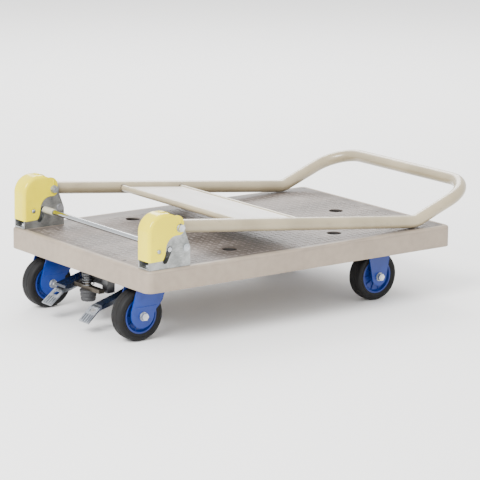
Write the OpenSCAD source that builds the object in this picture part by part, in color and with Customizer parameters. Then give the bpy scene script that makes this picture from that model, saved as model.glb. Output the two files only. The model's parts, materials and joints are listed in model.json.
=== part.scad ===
// Folding platform cart: a moulded deck on two swivel and two fixed casters,
// a bent tube handle that folds flat over the deck, a sprung lock rod that
// holds the handle, and a floor stopper with two pedals between the swivels.
// The deck is centred on X and Y before the whole cart is moved by cart_shift.

/* [Deck] */
// Length of the deck along X
deck_length = 740; // [600:1:900]
// Width of the deck along Y
deck_width = 480; // [400:1:600]
// Height of the deck top above the floor
deck_top = 150; // [120:1:200]
// Height of the skirt
skirt_height = 42; // [30:1:60]
// Plan radius of the deck corners
deck_corner = 16; // [10:1:40]
// Wall of the skirt
skirt_wall = 3.5; // [2:0.5:6]
// Thickness of the deck plate, and the radius of its top edge
plate_thick = 5; // [3:0.5:8]
// Lower face of the ribs and of the caster pads
pad_bottom = 132; // [120:1:145]
// Thickness of the ribs
rib_thick = 2.5; // [1.5:0.5:5]
// Radius of the strap holes
strap_r = 15; // [8:0.5:20]
// X of the four outer strap holes
strap_x = 128; // [80:1:200]
// Y of the four outer strap holes
strap_y = 164; // [80:1:200]
// X of the single strap hole near the grip end
strap_end_x = 265; // [200:1:320]
// X of the caster bolts from the middle of their plate
caster_bolt_x = 38; // [34:0.5:42]
// Y of the caster bolts from the middle of their plate
caster_bolt_y = 28; // [26:0.5:30]

/* [Mat] */
// Distance of the mat from the deck edge
mat_inset = 11; // [5:1:30]
// Thickness of the mat
mat_thick = 2; // [1:0.5:4]
// Depth of the recess the mat lies in
mat_recess = 1.8; // [1:0.1:3]

/* [Hinge brackets] */
// X of the handle pivot
pivot_x = -295.8; // [-340:0.1:-250]
// Z of the handle pivot
pivot_z = 224.5; // [200:0.5:260]
// Y of the middle of each bracket
bracket_y = 216; // [180:0.5:225]
// Overall width of a bracket
bracket_width = 36; // [32:0.5:44]
// Thickness of the bracket plates
bracket_plate = 3; // [2:0.5:5]
// X of the bracket's outer end
bracket_x0 = -363; // [-370:0.5:-340]
// X of the bracket's inner end
bracket_x1 = -270.5; // [-290:0.5:-240]
// Diameter of the pivot bolt
pivot_bolt_d = 8; // [6:1:12]
// X of the stop pin
stop_x = -279.6; // [-290:0.1:-270]
// Z of the stop pin
stop_z = 185.6; // [170:0.1:200]
// Diameter of the stop pin's shank
stop_d = 6; // [4:0.5:10]
// Wall of the plastic cap
cap_wall = 2.2; // [1.5:0.1:4]
// X of the cap screw
cap_screw_x = -342; // [-350:0.5:-330]
// Z of the cap screw
cap_screw_z = 184.5; // [170:0.5:200]

/* [Lock rod] */
// Diameter of the lock rod
rod_d = 10; // [8:0.5:14]
// X of the rod at rest, at the upper end of its slot
rod_x = -317.5; // [-330:0.5:-300]
// Z of the rod at rest
rod_z = 186; // [170:0.5:200]
// Travel of the rod along its slot
rod_travel = 22; // [10:1:30]
// Lean of the slot away from the vertical
slot_lean = 25; // [0:1:40]
// Diameter of the collars on the rod
collar_d = 13; // [11:0.5:18]

/* [Handle] */
// Diameter of the handle tube
tube_d = 25.4; // [20:0.1:34]
// Wall of the handle tube
tube_wall = 1.5; // [1:0.1:3]
// Length of a leg from the pivot to its bend
leg_length = 591; // [400:1:800]
// Slope of the folded legs down towards the deck
leg_slope = 6.04; // [0:0.01:15]
// Angle of the bend
bend_angle = 26.7; // [0:0.1:60]
// Radius of the bend
bend_r = 50; // [30:1:100]
// Length from the bend to the middle of the grip bar
rise_length = 168; // [100:1:300]
// Radius of the two corners beside the grip bar
grip_corner = 72; // [40:1:120]
// Length of the leg beyond the pivot
tail_length = 36; // [20:1:38]
// Diameter of the cross tubes
cross_d = 12.7; // [8:0.1:20]
// Distance of the first cross tube from the pivot
cross_a = 172.5; // [100:0.5:300]
// Distance of the second cross tube from the pivot
cross_b = 317.5; // [200:0.5:500]

/* [Casters] */
// Diameter of the wheels
wheel_d = 100; // [75:1:150]
// Y of the wheels
wheel_y = 157; // [120:0.5:200]
// X of the swivel axes
swivel_x = -308; // [-330:0.5:-280]
// Trail of the swivel wheels
swivel_trail = 30; // [15:0.5:45]
// X of the fixed wheels
fixed_x = 235; // [150:0.5:320]
// Diameter of the axle bolts
axle_d = 8; // [6:1:12]
// Width of the tyres
tyre_width = 33; // [20:1:50]
// Radius where the tyre meets the hub
hub_r = 35; // [25:0.5:42]

/* [Stopper] */
// X of the stopper shaft
shaft_x = -262; // [-290:1:-230]
// Z of the stopper shaft
shaft_z = 80; // [60:1:100]
// Diameter of the stopper shaft
shaft_d = 10; // [6:0.5:14]
// X of the plunger
plunger_x = -343; // [-355:0.5:-320]
// Diameter of the plunger
plunger_d = 12; // [8:0.5:16]
// Gap under the rubber foot at rest
foot_gap = 45; // [20:0.5:60]
// Y of the middle of the pedals
pedal_y = 62; // [50:0.5:70]
// Width of the pedal pads
pad_width = 32; // [20:1:40]
// Angle of the lock pedal above the release pedal
lock_raise = 4.5; // [0:0.1:10]

/* [Hidden] */
$fn = 64;
e = 0.01;
hy = deck_width / 2;
hx = deck_length / 2;
deck_bottom = deck_top - skirt_height;
plate_bottom = deck_top - plate_thick;
wheel_r = wheel_d / 2;
tube_r = tube_d / 2;
grip_x = pivot_x + leg_length * cos(leg_slope) + rise_length * cos(bend_angle - leg_slope);
tip_dx = -133;
tip_dz = -56.5;
tip_x = shaft_x + tip_dx;
lock_tip_x = shaft_x + tip_dx * cos(lock_raise) + tip_dz * sin(lock_raise);
cart_shift = -(grip_x + tube_r + lock_tip_x - 0.98) / 2;
slot_dx = -sin(slot_lean);
slot_dz = -cos(slot_lean);

// ---------------------------------------------------------------- shared shapes

// A rounded rectangle centred on the origin
module plan(lx, ly, r) {
    square([lx - 2 * r, ly], center = true);
    square([lx, ly - 2 * r], center = true);
    for (x = [-1, 1]) {
        for (y = [-1, 1]) {
            translate([x * (lx / 2 - r), y * (ly / 2 - r)]) circle(r);
        }
    }
}

// A plate in the XZ plane that runs from y0 to y1
module wall_y(y0, y1) {
    translate([0, y1, 0]) rotate([90, 0, 0]) linear_extrude(y1 - y0) children();
}

// A rod along Y from y0 to y1
module rod_y(r, y0, y1) {
    translate([0, y0, 0]) rotate([-90, 0, 0]) cylinder(r = r, h = y1 - y0);
}

// A hexagon across its flats, as a prism of height h
module hex(flats, h) {
    cylinder(r = flats / sqrt(3), h = h, $fn = 6);
}

// A coil spring as a stack of touching rings along Z
module coil(r, wire, length, turns) {
    pitch = (length - wire) / (turns - 1);
    for (i = [0 : turns - 1]) {
        translate([0, 0, wire / 2 + i * pitch]) rotate_extrude() translate([r, 0]) circle(wire / 2, $fn = 16);
    }
    rotate_extrude() translate([r - 0.3, 0]) square([0.6, length]);
}

// Two points of the plan for each corner of a rectangle
module four(x, y) {
    for (i = [-1, 1]) {
        for (j = [-1, 1]) {
            translate([i * x, j * y, 0]) children();
        }
    }
}

// ---------------------------------------------------------------- deck

// Section of the top edge, from a corner's centre line out to the edge
module edge_section() {
    q = plate_thick;
    square([deck_corner - q, q]);
    translate([deck_corner - q, 0]) intersection() {
        circle(q);
        square(q);
    }
}

// The flat plate of the deck with its rounded top edge
module deck_slab() {
    c = deck_corner;
    z = plate_bottom;
    translate([-hx + c, -hy + c, z]) cube([deck_length - 2 * c, deck_width - 2 * c, plate_thick]);
    for (i = [0, 1]) {
        mirror([i, 0, 0]) translate([hx - c, hy - c, z]) rotate([90, 0, 0])
            linear_extrude(deck_width - 2 * c) edge_section();
        mirror([0, i, 0]) translate([-hx + c, hy - c, z]) rotate([90, 0, 90])
            linear_extrude(deck_length - 2 * c) edge_section();
        for (j = [0, 1]) {
            mirror([i, 0, 0]) mirror([0, j, 0]) translate([hx - c, hy - c, z])
                rotate_extrude(angle = 90) edge_section();
        }
    }
}

// The outline of the hollow inside the skirt
module inside_plan() {
    plan(deck_length - 2 * skirt_wall, deck_width - 2 * skirt_wall, deck_corner - skirt_wall);
}

// The places of the five strap holes
module at_straps() {
    four(strap_x, strap_y) children();
    translate([strap_end_x, 0, 0]) children();
}

// The ground outline of one bracket, with a margin
module bracket_plan(m) {
    for (s = [-1, 1]) {
        translate([bracket_x0 - m, s * bracket_y - bracket_width / 2 - m])
            square([bracket_x1 - bracket_x0 + 2 * m, bracket_width + 2 * m]);
    }
}

// The outline of the mat, smaller by m all round
module mat_plan(m) {
    difference() {
        plan(deck_length - 2 * mat_inset - 2 * m, deck_width - 2 * mat_inset - 2 * m, 8);
        bracket_plan(2 + m);
    }
}

// The ribs, pads and bosses under the deck plate
module deck_ribs() {
    h = plate_bottom - pad_bottom + 1;
    for (y = [-210, -150, -90, -30, 30, 90, 150, 210]) {
        translate([-hx + 1, y - rib_thick / 2, pad_bottom]) cube([deck_length - 2, rib_thick, h]);
    }
    for (x = [-330 : 60 : 330]) {
        translate([x - rib_thick / 2, -hy + 1, pad_bottom]) cube([rib_thick, deck_width - 2, h]);
    }
    for (s = [-1, 1]) {
        translate([swivel_x - 54, s * wheel_y - 40, pad_bottom]) cube([108, 80, h]);
        translate([fixed_x - 54, s * wheel_y - 40, pad_bottom]) cube([108, 80, h]);
        translate([bracket_x0 + 2, s * bracket_y - 14, pad_bottom]) cube([88, 28, h]);
    }
    translate([-358, -34, pad_bottom]) cube([118, 68, h]);
    at_straps() translate([0, 0, pad_bottom]) cylinder(r = strap_r + 4, h = h);
}

// The deck's plate with its ribs, pads, strap holes and bolt holes
module deck_plate() {
    color([0.80, 0.77, 0.73]) difference() {
        union() {
            deck_slab();
            intersection() {
                deck_ribs();
                translate([0, 0, deck_bottom]) linear_extrude(skirt_height - 1) inside_plan();
            }
        }
        translate([0, 0, deck_top - mat_recess]) linear_extrude(10) mat_plan(0);
        at_straps() translate([0, 0, 100]) cylinder(r = strap_r, h = 60);
        for (s = [-1, 1]) {
            for (x = [swivel_x, fixed_x]) {
                translate([x, s * wheel_y, 100]) four(caster_bolt_x, caster_bolt_y) cylinder(r = 4.2, h = 44);
            }
            translate([swivel_x, s * wheel_y, 100]) cylinder(r = 10, h = 38);
            for (x = [-350, -290]) {
                translate([x, s * bracket_y, 100]) cylinder(r = 4.2, h = 60);
            }
        }
        translate([plunger_x, 0, 100]) cylinder(r = 8, h = 44);
        translate([-290, 0, 100]) four(38, 14) cylinder(r = 3.2, h = 40);
    }
}

// The skirt that hangs from the edge of the plate
module deck_skirt() {
    color([0.80, 0.77, 0.73]) translate([0, 0, deck_bottom]) linear_extrude(skirt_height - plate_thick)
        difference() {
            plan(deck_length, deck_width, deck_corner);
            inside_plan();
        }
}

// The anti-slip mat, let into the top of the deck
module deck_mat() {
    color([0.72, 0.69, 0.66]) difference() {
        translate([0, 0, deck_top - mat_recess]) linear_extrude(mat_thick) mat_plan(0.3);
        at_straps() translate([0, 0, 100]) cylinder(r = strap_r, h = 60);
    }
}

// ---------------------------------------------------------------- hinge brackets

// The slot for the lock rod, in the XZ plane
module slot_shape(r) {
    x0 = rod_x - slot_dx * 0.8;
    z0 = rod_z - slot_dz * 0.8;
    x1 = rod_x + slot_dx * (rod_travel + 0.8);
    z1 = rod_z + slot_dz * (rod_travel + 0.8);
    px = -slot_dz * r;
    pz = slot_dx * r;
    translate([x0, z0]) circle(r);
    translate([x1, z1]) circle(r);
    polygon([[x0 + px, z0 + pz], [x0 - px, z0 - pz], [x1 - px, z1 - pz], [x1 + px, z1 + pz]]);
}

// One side plate of a bracket, in the XZ plane
module bracket_side() {
    difference() {
        union() {
            polygon([[bracket_x0, deck_top], [bracket_x1, deck_top], [bracket_x1, 184.8],
                [pivot_x + 12.6, 219], [pivot_x + 13.5, pivot_z], [pivot_x, pivot_z + 13.5],
                [bracket_x0 + 30, pivot_z + 10], [bracket_x0 + 8, pivot_z - 8], [bracket_x0, pivot_z - 28]]);
            translate([pivot_x, pivot_z]) circle(13.5);
        }
        slot_shape(rod_d / 2 + 0.6);
        translate([pivot_x, pivot_z]) circle(pivot_bolt_d / 2);
        translate([stop_x, stop_z]) circle(stop_d / 2);
        translate([cap_screw_x, cap_screw_z]) circle(2.4);
        translate([-356.5, 219]) circle(2.5);
    }
}

// A U bracket: a base on the deck and a plate on each side of the leg
module hinge_bracket(s) {
    w = bracket_width / 2;
    y = s * bracket_y;
    color([0.72, 0.73, 0.72]) {
        wall_y(y - w, y - w + bracket_plate) bracket_side();
        wall_y(y + w - bracket_plate, y + w) bracket_side();
        difference() {
            translate([bracket_x0, y - w, deck_top]) cube([bracket_x1 - bracket_x0, bracket_width, bracket_plate]);
            translate([-350, y, 100]) cylinder(r = 4.2, h = 60);
            translate([-290, y, 100]) cylinder(r = 4.2, h = 60);
        }
    }
}

// The side outline of the cap, in the XZ plane
module cap_outline() {
    difference() {
        union() {
            translate([-365.5, 166]) square([47.5, 53]);
            translate([-330.5, 219.3]) circle(35);
            translate([-330.5, 219.3]) square([12.5, 35]);
            translate([-365.5, 196]) square([35, 23.3]);
            translate([-330.5, 214]) square([26.5, 35]);
            translate([-304, 232]) circle(17);
            translate([-304, 221]) square([17, 11]);
            translate([-297, 221.2]) circle(10);
            translate([-330, 211.2]) square([33, 10]);
        }
        translate([-303.5, 187.5]) circle(23.7);
        translate([-327, 150]) square([47, 37.5]);
        translate([-338.5, 150]) square([20, 26.5]);
        translate([-400, 254.3]) square([120, 20]);
        translate([-318, 249.5]) square([60, 20]);
    }
    translate([-338.5, 175.5]) circle(9);
}

// The plastic cap that hides the handle's tail, open towards the leg
module hinge_cap(s) {
    w = bracket_width / 2;
    y = s * bracket_y;
    color([0.93, 0.86, 0.10]) difference() {
        union() {
            wall_y(y - w - 0.2 - cap_wall, y + w + 0.2 + cap_wall) cap_outline();
            wall_y(y - w - 0.2 - cap_wall, y + w + 0.2 + cap_wall) translate([-327, 250]) square([7.5, 6]);
        }
        wall_y(y - w - 0.2, y + w + 0.2) {
            translate([-363.3, 150]) square([120, 60]);
            translate([-363.3, 205]) square([32.8, 14]);
            translate([-330.5, 219.3]) circle(32.8);
            translate([-330.5, 205]) square([80, 47.1]);
            translate([-319, 205]) square([80, 80]);
        }
        for (t = [-1, 1]) {
            translate([cap_screw_x, y + t * (w + 0.2 + cap_wall + 5 - 1.2), cap_screw_z]) rod_y(8, -5, 5);
        }
        translate([cap_screw_x, 0, cap_screw_z]) rod_y(2.6, y - 40, y + 40);
        translate([pivot_x, 0, pivot_z]) rod_y(pivot_bolt_d / 2 + 0.1, y - 40, y + 40);
        wall_y(y - 40, y + 40) slot_shape(rod_d / 2 + 1);
    }
}

// The bolt through both plates, the cap and the leg, with its head outside
module pivot_bolt(s) {
    w = bracket_width / 2 + 0.2 + cap_wall;
    color([0.78, 0.79, 0.80]) mirror([0, s < 0 ? 1 : 0, 0]) translate([pivot_x, bracket_y, pivot_z]) {
        rod_y(pivot_bolt_d / 2 - 0.05, -w - 7, w + 2);
        rod_y(8, -w - 1.2, -w);
        rod_y(8, w, w + 1.2);
        translate([0, -w - 6.2, 0]) rotate([-90, 0, 0]) hex(13, 5);
        translate([0, w + 1.2, 0]) rotate([-90, 0, 0]) hex(13, 5.3);
    }
}

// The riveted pin that the upright leg leans on, with a round head each side
module stop_pin(s) {
    w = bracket_width / 2;
    y = s * bracket_y;
    color([0.70, 0.71, 0.71]) translate([stop_x, 0, stop_z]) {
        rod_y(stop_d / 2, y - w - 1, y + w + 1);
        rod_y(7.5, y - w - 1.2, y - w);
        rod_y(7.5, y + w, y + w + 1.2);
    }
}

// The four screws that hold the caps to the plates
module cap_screws() {
    w = bracket_width / 2 + 0.2 + cap_wall - 1.2;
    color([0.75, 0.76, 0.78]) for (s = [-1, 1]) {
        for (t = [-1, 1]) {
            translate([cap_screw_x, s * bracket_y + t * w, cap_screw_z]) {
                rod_y(2.35, min(-t * 6, 0), max(-t * 6, 0));
                rod_y(4.2, min(t * 2.4, 0), max(t * 2.4, 0));
            }
        }
    }
}

// The four bolts that hold the brackets to the deck, with washers and nuts
module bracket_bolts() {
    color([0.70, 0.71, 0.72]) for (s = [-1, 1]) {
        for (x = [-350, -290]) {
            translate([x, s * bracket_y, 0]) {
                translate([0, 0, pad_bottom - 8]) cylinder(r = 4, h = 31);
                translate([0, 0, deck_top + bracket_plate]) cylinder(r = 8.5, h = 1.2);
                translate([0, 0, deck_top + bracket_plate + 1.2]) hex(13, 4);
                translate([0, 0, pad_bottom - 1.5]) cylinder(r = 8.5, h = 1.5);
                translate([0, 0, pad_bottom - 8]) hex(13, 6.5);
            }
        }
    }
}

// ---------------------------------------------------------------- lock rod

// The chrome rod that is stepped on to free the handle
module lock_rod() {
    w = bracket_y + bracket_width / 2;
    color([0.86, 0.87, 0.88]) translate([rod_x, 0, rod_z]) rod_y(rod_d / 2, -w - 1, w + 1);
}

// A collar on the rod beside the bracket's inner plate
module rod_collar(s) {
    y0 = bracket_y - bracket_width / 2 - cap_wall - 0.7;
    color([0.90, 0.90, 0.88]) translate([rod_x, 0, rod_z]) difference() {
        rod_y(collar_d / 2, s > 0 ? y0 - 35 : -y0, s > 0 ? y0 : -y0 + 35);
        rod_y(rod_d / 2, -300, 300);
    }
}

// The spring that lifts the rod, with its anchor pin
module rod_spring(s) {
    ax = -356.5;
    az = 219;
    dx = rod_x - ax;
    dz = rod_z - az;
    length = sqrt(dx * dx + dz * dz);
    color([0.55, 0.56, 0.58]) translate([ax, s * bracket_y, az]) {
        rod_y(2.45, -bracket_width / 2, bracket_width / 2);
        rotate([0, atan2(dx, dz), 0]) translate([0, 0, 4]) coil(3, 1.2, length - 10.5, 20);
    }
}

// ---------------------------------------------------------------- handle

// Places its children at the pivot, along the folded leg
module on_leg() {
    translate([pivot_x, 0, pivot_z]) rotate([0, leg_slope, 0]) children();
}

// The run of the handle tube drawn with radius r
module handle_run(r, cut) {
    t = bend_r * tan(bend_angle / 2);
    c = grip_corner;
    for (s = [-1, 1]) {
        translate([-tail_length - cut, s * bracket_y, 0]) rotate([0, 90, 0])
            cylinder(r = r, h = leg_length - t + tail_length + cut);
        translate([leg_length - t, s * bracket_y, bend_r]) rotate([90, 0, 0]) rotate([0, 0, -90])
            rotate_extrude(angle = bend_angle) translate([bend_r, 0]) circle(r);
        translate([leg_length, 0, 0]) rotate([0, -bend_angle, 0]) {
            translate([t, s * bracket_y, 0]) rotate([0, 90, 0]) cylinder(r = r, h = rise_length - c - t);
            translate([rise_length - c, s * (bracket_y - c), 0]) rotate([0, 0, s > 0 ? 0 : -90])
                rotate_extrude(angle = 90) translate([c, 0]) circle(r);
        }
    }
    translate([leg_length, 0, 0]) rotate([0, -bend_angle, 0]) translate([rise_length, 0, 0])
        rod_y(r, -bracket_y + c, bracket_y - c);
}

// The bent tube: two legs, two bends and the grip bar
module handle_tube() {
    color([0.78, 0.74, 0.65]) on_leg() difference() {
        handle_run(tube_r, 0);
        handle_run(tube_r - tube_wall, 1);
        rod_y(6, -300, 300);
    }
}

// A cross tube between the legs, at distance d from the pivot
module cross_tube(d) {
    w = bracket_y - tube_r + 0.8;
    color([0.80, 0.76, 0.68]) on_leg() difference() {
        translate([d, 0, 0]) rod_y(cross_d / 2, -w, w);
        translate([d, 0, 0]) rod_y(cross_d / 2 - 1.2, -w + 3, w - 3);
        for (s = [-1, 1]) {
            translate([0, s * bracket_y, 0]) rotate([0, 90, 0]) cylinder(r = tube_r, h = 600);
        }
    }
}

// The sheet panel welded between the two cross tubes
module handle_panel() {
    x0 = cross_a + cross_d / 2 - 2;
    x1 = cross_b - cross_d / 2 + 2;
    color([0.86, 0.85, 0.84]) on_leg() difference() {
        translate([x0, -195, 2.2]) cube([x1 - x0, 390, 1.5]);
        translate([cross_a, 0, 0]) rod_y(cross_d / 2, -220, 220);
        translate([cross_b, 0, 0]) rod_y(cross_d / 2, -220, 220);
    }
}

// The bush welded across the leg around the pivot bolt
module pivot_bush(s) {
    w = tube_r + 0.9;
    color([0.66, 0.67, 0.68]) on_leg() translate([0, s * bracket_y, 0]) difference() {
        rod_y(6, -w, w);
        rod_y(pivot_bolt_d / 2, -20, 20);
    }
}

// The plugs in the lower ends of the two legs
module tail_plugs() {
    color([0.12, 0.12, 0.12]) on_leg() for (s = [-1, 1]) {
        translate([-tail_length, s * bracket_y, 0]) rotate([0, 90, 0]) {
            cylinder(r = tube_r - tube_wall, h = 9);
            translate([0, 0, -1.2]) cylinder(r = tube_r - 1.5, h = 1.2);
        }
    }
}

// ---------------------------------------------------------------- casters

// Places its children at the floor under a swivel axis
module at_swivel(s) {
    translate([swivel_x, s * wheel_y, 0]) children();
}

// Places its children at the floor under a fixed wheel
module at_fixed(s) {
    translate([fixed_x, s * wheel_y, 0]) children();
}

// The swivel caster's top plate with the upper half of its race
module swivel_plate(s) {
    color([0.30, 0.47, 0.76]) at_swivel(s) difference() {
        union() {
            translate([0, 0, pad_bottom - 3]) linear_extrude(3) plan(96, 72, 6);
            translate([0, 0, pad_bottom - 7]) cylinder(r = 27, h = 5);
        }
        translate([0, 0, 100]) four(caster_bolt_x, caster_bolt_y) cylinder(r = 4.3, h = 60);
        translate([0, 0, 100]) cylinder(r = 6, h = 60);
        translate([0, 0, pad_bottom - 8]) rotate_extrude() translate([21, 0]) circle(3);
    }
}

// The rivet that carries the fork, with its head above and below
module kingpin(s) {
    color([0.62, 0.63, 0.65]) at_swivel(s) {
        translate([0, 0, 109]) cylinder(r = 5.95, h = pad_bottom - 109);
        translate([0, 0, pad_bottom]) cylinder(r = 8.5, h = 4);
        translate([0, 0, 109]) cylinder(r = 9, h = 5.5);
    }
}

// The balls between the two races, drawn as one ring
module ball_race(s) {
    color([0.55, 0.56, 0.58]) at_swivel(s) translate([0, 0, pad_bottom - 9.4])
        rotate_extrude() translate([21, 0]) circle(2.6);
}

// The side outline of the swivel fork, with the axis at x = 0
module fork_outline() {
    difference() {
        union() {
            translate([-31, 53]) circle(26);
            polygon([[-57, 53], [-56.5, 62], [-47, 93], [-40, 112], [-38, 119.5], [29, 119.5],
                [27, 110], [21.5, 98], [18, 88], [14, 78], [8, 69], [0, 62], [-5, 53]]);
        }
        translate([-swivel_trail, wheel_r]) circle(axle_d / 2 + 0.1);
    }
}

// The pressed swivel fork: crown, two cheeks and a rear apron
module swivel_fork(s) {
    color([0.22, 0.40, 0.72]) at_swivel(s) difference() {
        union() {
            for (t = [-1, 1]) {
                wall_y(min(t * 19.5, t * 22), max(t * 19.5, t * 22)) fork_outline();
            }
            wall_y(-19.6, 19.6) polygon([[29, 119.5], [27, 110], [21.5, 98], [18, 88], [16.5, 84],
                [14.2, 84.6], [15.6, 89], [19.1, 99], [24.5, 110.5], [26.5, 119.5]]);
            translate([-38, -19.6, 115.5]) cube([67, 39.2, 4]);
            translate([0, 0, 115.5]) cylinder(r = 28, h = 4);
            translate([0, 0, 119.4]) difference() {
                cylinder(r = 27, h = 4.3);
                translate([0, 0, 0.6]) cylinder(r = 24.8, h = 5);
            }
        }
        translate([0, 0, 100]) cylinder(r = 6, h = 40);
    }
}

// An axle bolt with its head and nut outside the two cheeks
module axle(out) {
    color([0.82, 0.83, 0.84]) translate([0, 0, wheel_r]) {
        rod_y(axle_d / 2 - 0.05, -out - 8.5, out + 6.5);
        rod_y(8.5, -out - 1.5, -out);
        rod_y(8.5, out, out + 1.5);
        translate([0, -out - 8, 0]) rotate([-90, 0, 0]) hex(13, 6.5);
        translate([0, out + 1.5, 0]) rotate([-90, 0, 0]) hex(13, 5);
    }
}

// The tyre with a crowned tread
module tyre() {
    w = tyre_width / 2;
    color([0.14, 0.14, 0.14]) translate([0, 0, wheel_r]) rotate([90, 0, 0]) rotate_extrude()
        difference() {
            polygon([[hub_r, -w + 2], [hub_r, w - 2], [hub_r + 3, w], [wheel_r - 6, w], [wheel_r - 2, w - 2.5],
                [wheel_r - 0.4, w - 7], [wheel_r, 0], [wheel_r - 0.4, -w + 7], [wheel_r - 2, -w + 2.5],
                [wheel_r - 6, -w], [hub_r + 3, -w]]);
            translate([hub_r + 5.5, w + 0.6]) circle(1.4);
            translate([hub_r + 5.5, -w - 0.6]) circle(1.4);
        }
}

// The hub: a rim, a web and a boss around the axle
module hub() {
    color([0.13, 0.22, 0.52]) translate([0, 0, wheel_r]) rotate([90, 0, 0]) rotate_extrude()
        polygon([[axle_d / 2, -19], [11, -19], [12, -9], [27, -6], [29, -14], [hub_r, -14.5],
            [hub_r, 14.5], [29, 14], [27, 6], [12, 9], [11, 19], [axle_d / 2, 19]]);
}

// The side outline of the fixed fork
module fixed_outline() {
    difference() {
        union() {
            translate([0, wheel_r]) circle(18);
            polygon([[-18, wheel_r], [-28, 98], [-33, pad_bottom - 3], [33, pad_bottom - 3], [28, 98], [18, wheel_r]]);
        }
        translate([0, wheel_r]) circle(axle_d / 2 + 0.1);
    }
}

// The pressed fixed fork: top plate and two tapered cheeks
module fixed_fork(s) {
    color([0.22, 0.40, 0.72]) at_fixed(s) {
        for (t = [-1, 1]) {
            wall_y(min(t * 19.5, t * 22), max(t * 19.5, t * 22)) fixed_outline();
        }
        difference() {
            translate([0, 0, pad_bottom - 3]) linear_extrude(3) plan(96, 72, 6);
            translate([0, 0, 100]) four(caster_bolt_x, caster_bolt_y) cylinder(r = 4.3, h = 60);
        }
    }
}

// The sixteen bolts that hold the casters to the deck
module caster_bolts() {
    color([0.70, 0.71, 0.72]) for (s = [-1, 1]) {
        for (x = [swivel_x, fixed_x]) {
            translate([x, s * wheel_y, 0]) four(caster_bolt_x, caster_bolt_y) {
                translate([0, 0, pad_bottom - 6]) cylinder(r = 4, h = 16);
                translate([0, 0, pad_bottom - 4]) cylinder(r = 7, h = 1);
                translate([0, 0, pad_bottom - 8]) hex(12, 4);
            }
        }
    }
}

// ---------------------------------------------------------------- stopper

// The frame under the deck: base plate, two cheeks, two front posts and a wall between them
module stopper_frame() {
    color([0.17, 0.18, 0.22]) difference() {
        union() {
            translate([-358, -49, pad_bottom - 3]) cube([118, 98, 3]);
            for (y = [-40, 37]) {
                wall_y(y, y + 3) polygon([[-336, pad_bottom - 2], [-240, pad_bottom - 2], [-249, shaft_z - 6],
                    [shaft_x + 5, shaft_z - 11], [shaft_x - 6, shaft_z - 11], [-276, shaft_z], [-300, 100],
                    [-330, 108]]);
            }
            translate([-331, -48, 66]) cube([17, 18, pad_bottom - 68]);
            translate([-331, 24, 84]) cube([17, 17, pad_bottom - 86]);
            translate([-317, -47, 73]) cube([3, 87, pad_bottom - 75]);
        }
        translate([-328.5, -45.5, 68]) cube([20, 13, pad_bottom - 74]);
        translate([-328.5, 26.5, 86]) cube([20, 12, pad_bottom - 92]);
        translate([shaft_x, 0, shaft_z]) rod_y(shaft_d / 2, -60, 60);
        translate([plunger_x, 0, 100]) cylinder(r = 9, h = 60);
        translate([-290, 0, 100]) four(38, 14) cylinder(r = 3.2, h = 60);
    }
}

// The shaft that both pedals turn on, with a clip at each end
module stopper_shaft() {
    color([0.66, 0.67, 0.69]) translate([shaft_x, 0, shaft_z]) {
        rod_y(shaft_d / 2 - 0.05, -81, 81);
        rod_y(8, -79.5, -78);
        rod_y(8, 78, 79.5);
        rod_y(7.5, -36.6, -35);
        rod_y(7.5, 35, 36.6);
    }
}

// The side flange of a pedal arm, measured from the shaft
module arm_flange() {
    difference() {
        union() {
            circle(9);
            polygon([[-2, 9], [-32, -6.5], [-52, -14], [-108, -30.8], [-111, -36.5], [-104, -37.5],
                [-47, -22.5], [-19, -14.5], [3, -8]]);
        }
        circle(shaft_d / 2);
    }
}

// The top web of a pedal arm, as a strip 2.5 thick
module arm_web() {
    polygon([[-2, 9], [-32, -6.5], [-52, -14], [-108, -30.8], [-107.3, -33.3], [-51, -16.6],
        [-31, -9.2], [-5, 4.5]]);
}

// The sloping pad at the end of an arm, with its hole and ribs
module foot_pad() {
    w = pad_width / 2;
    difference() {
        translate([-106.5, 0, -31.8]) rotate([0, -43, 0]) translate([-37.5, -w, -2.8]) cube([38, pad_width, 2.8]);
        translate([-106.5, 0, -31.8]) rotate([0, -43, 0]) translate([-7.5, 0, -10]) {
            translate([0, 4, 0]) cylinder(r = 4.5, h = 20);
            translate([0, -4, 0]) cylinder(r = 4.5, h = 20);
            translate([-4.5, -4, 0]) cube([9, 8, 20]);
        }
    }
    for (y = [-11, -4, 4, 11]) {
        translate([-106.5, y, -31.8]) rotate([0, -43, 0]) translate([-36, -1.2, -0.2]) cube([18, 2.4, 1.6]);
    }
}

// Places its children at the shaft
module at_shaft() {
    translate([shaft_x, 0, shaft_z]) children();
}

// The narrow arm on the near side, with its sleeve and its pad
module release_arm() {
    color([0.13, 0.17, 0.26]) at_shaft() difference() {
        union() {
            wall_y(-pedal_y - 12.3, -pedal_y - 9.8) arm_flange();
            wall_y(-pedal_y + 9.8, -pedal_y + 12.3) arm_flange();
            wall_y(-pedal_y - 12.3, -pedal_y + 12.3) arm_web();
            rod_y(9, -pedal_y - 14, -pedal_y + 14);
            translate([0, -pedal_y, 0]) foot_pad();
        }
        rod_y(shaft_d / 2, -100, 100);
    }
}

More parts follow.
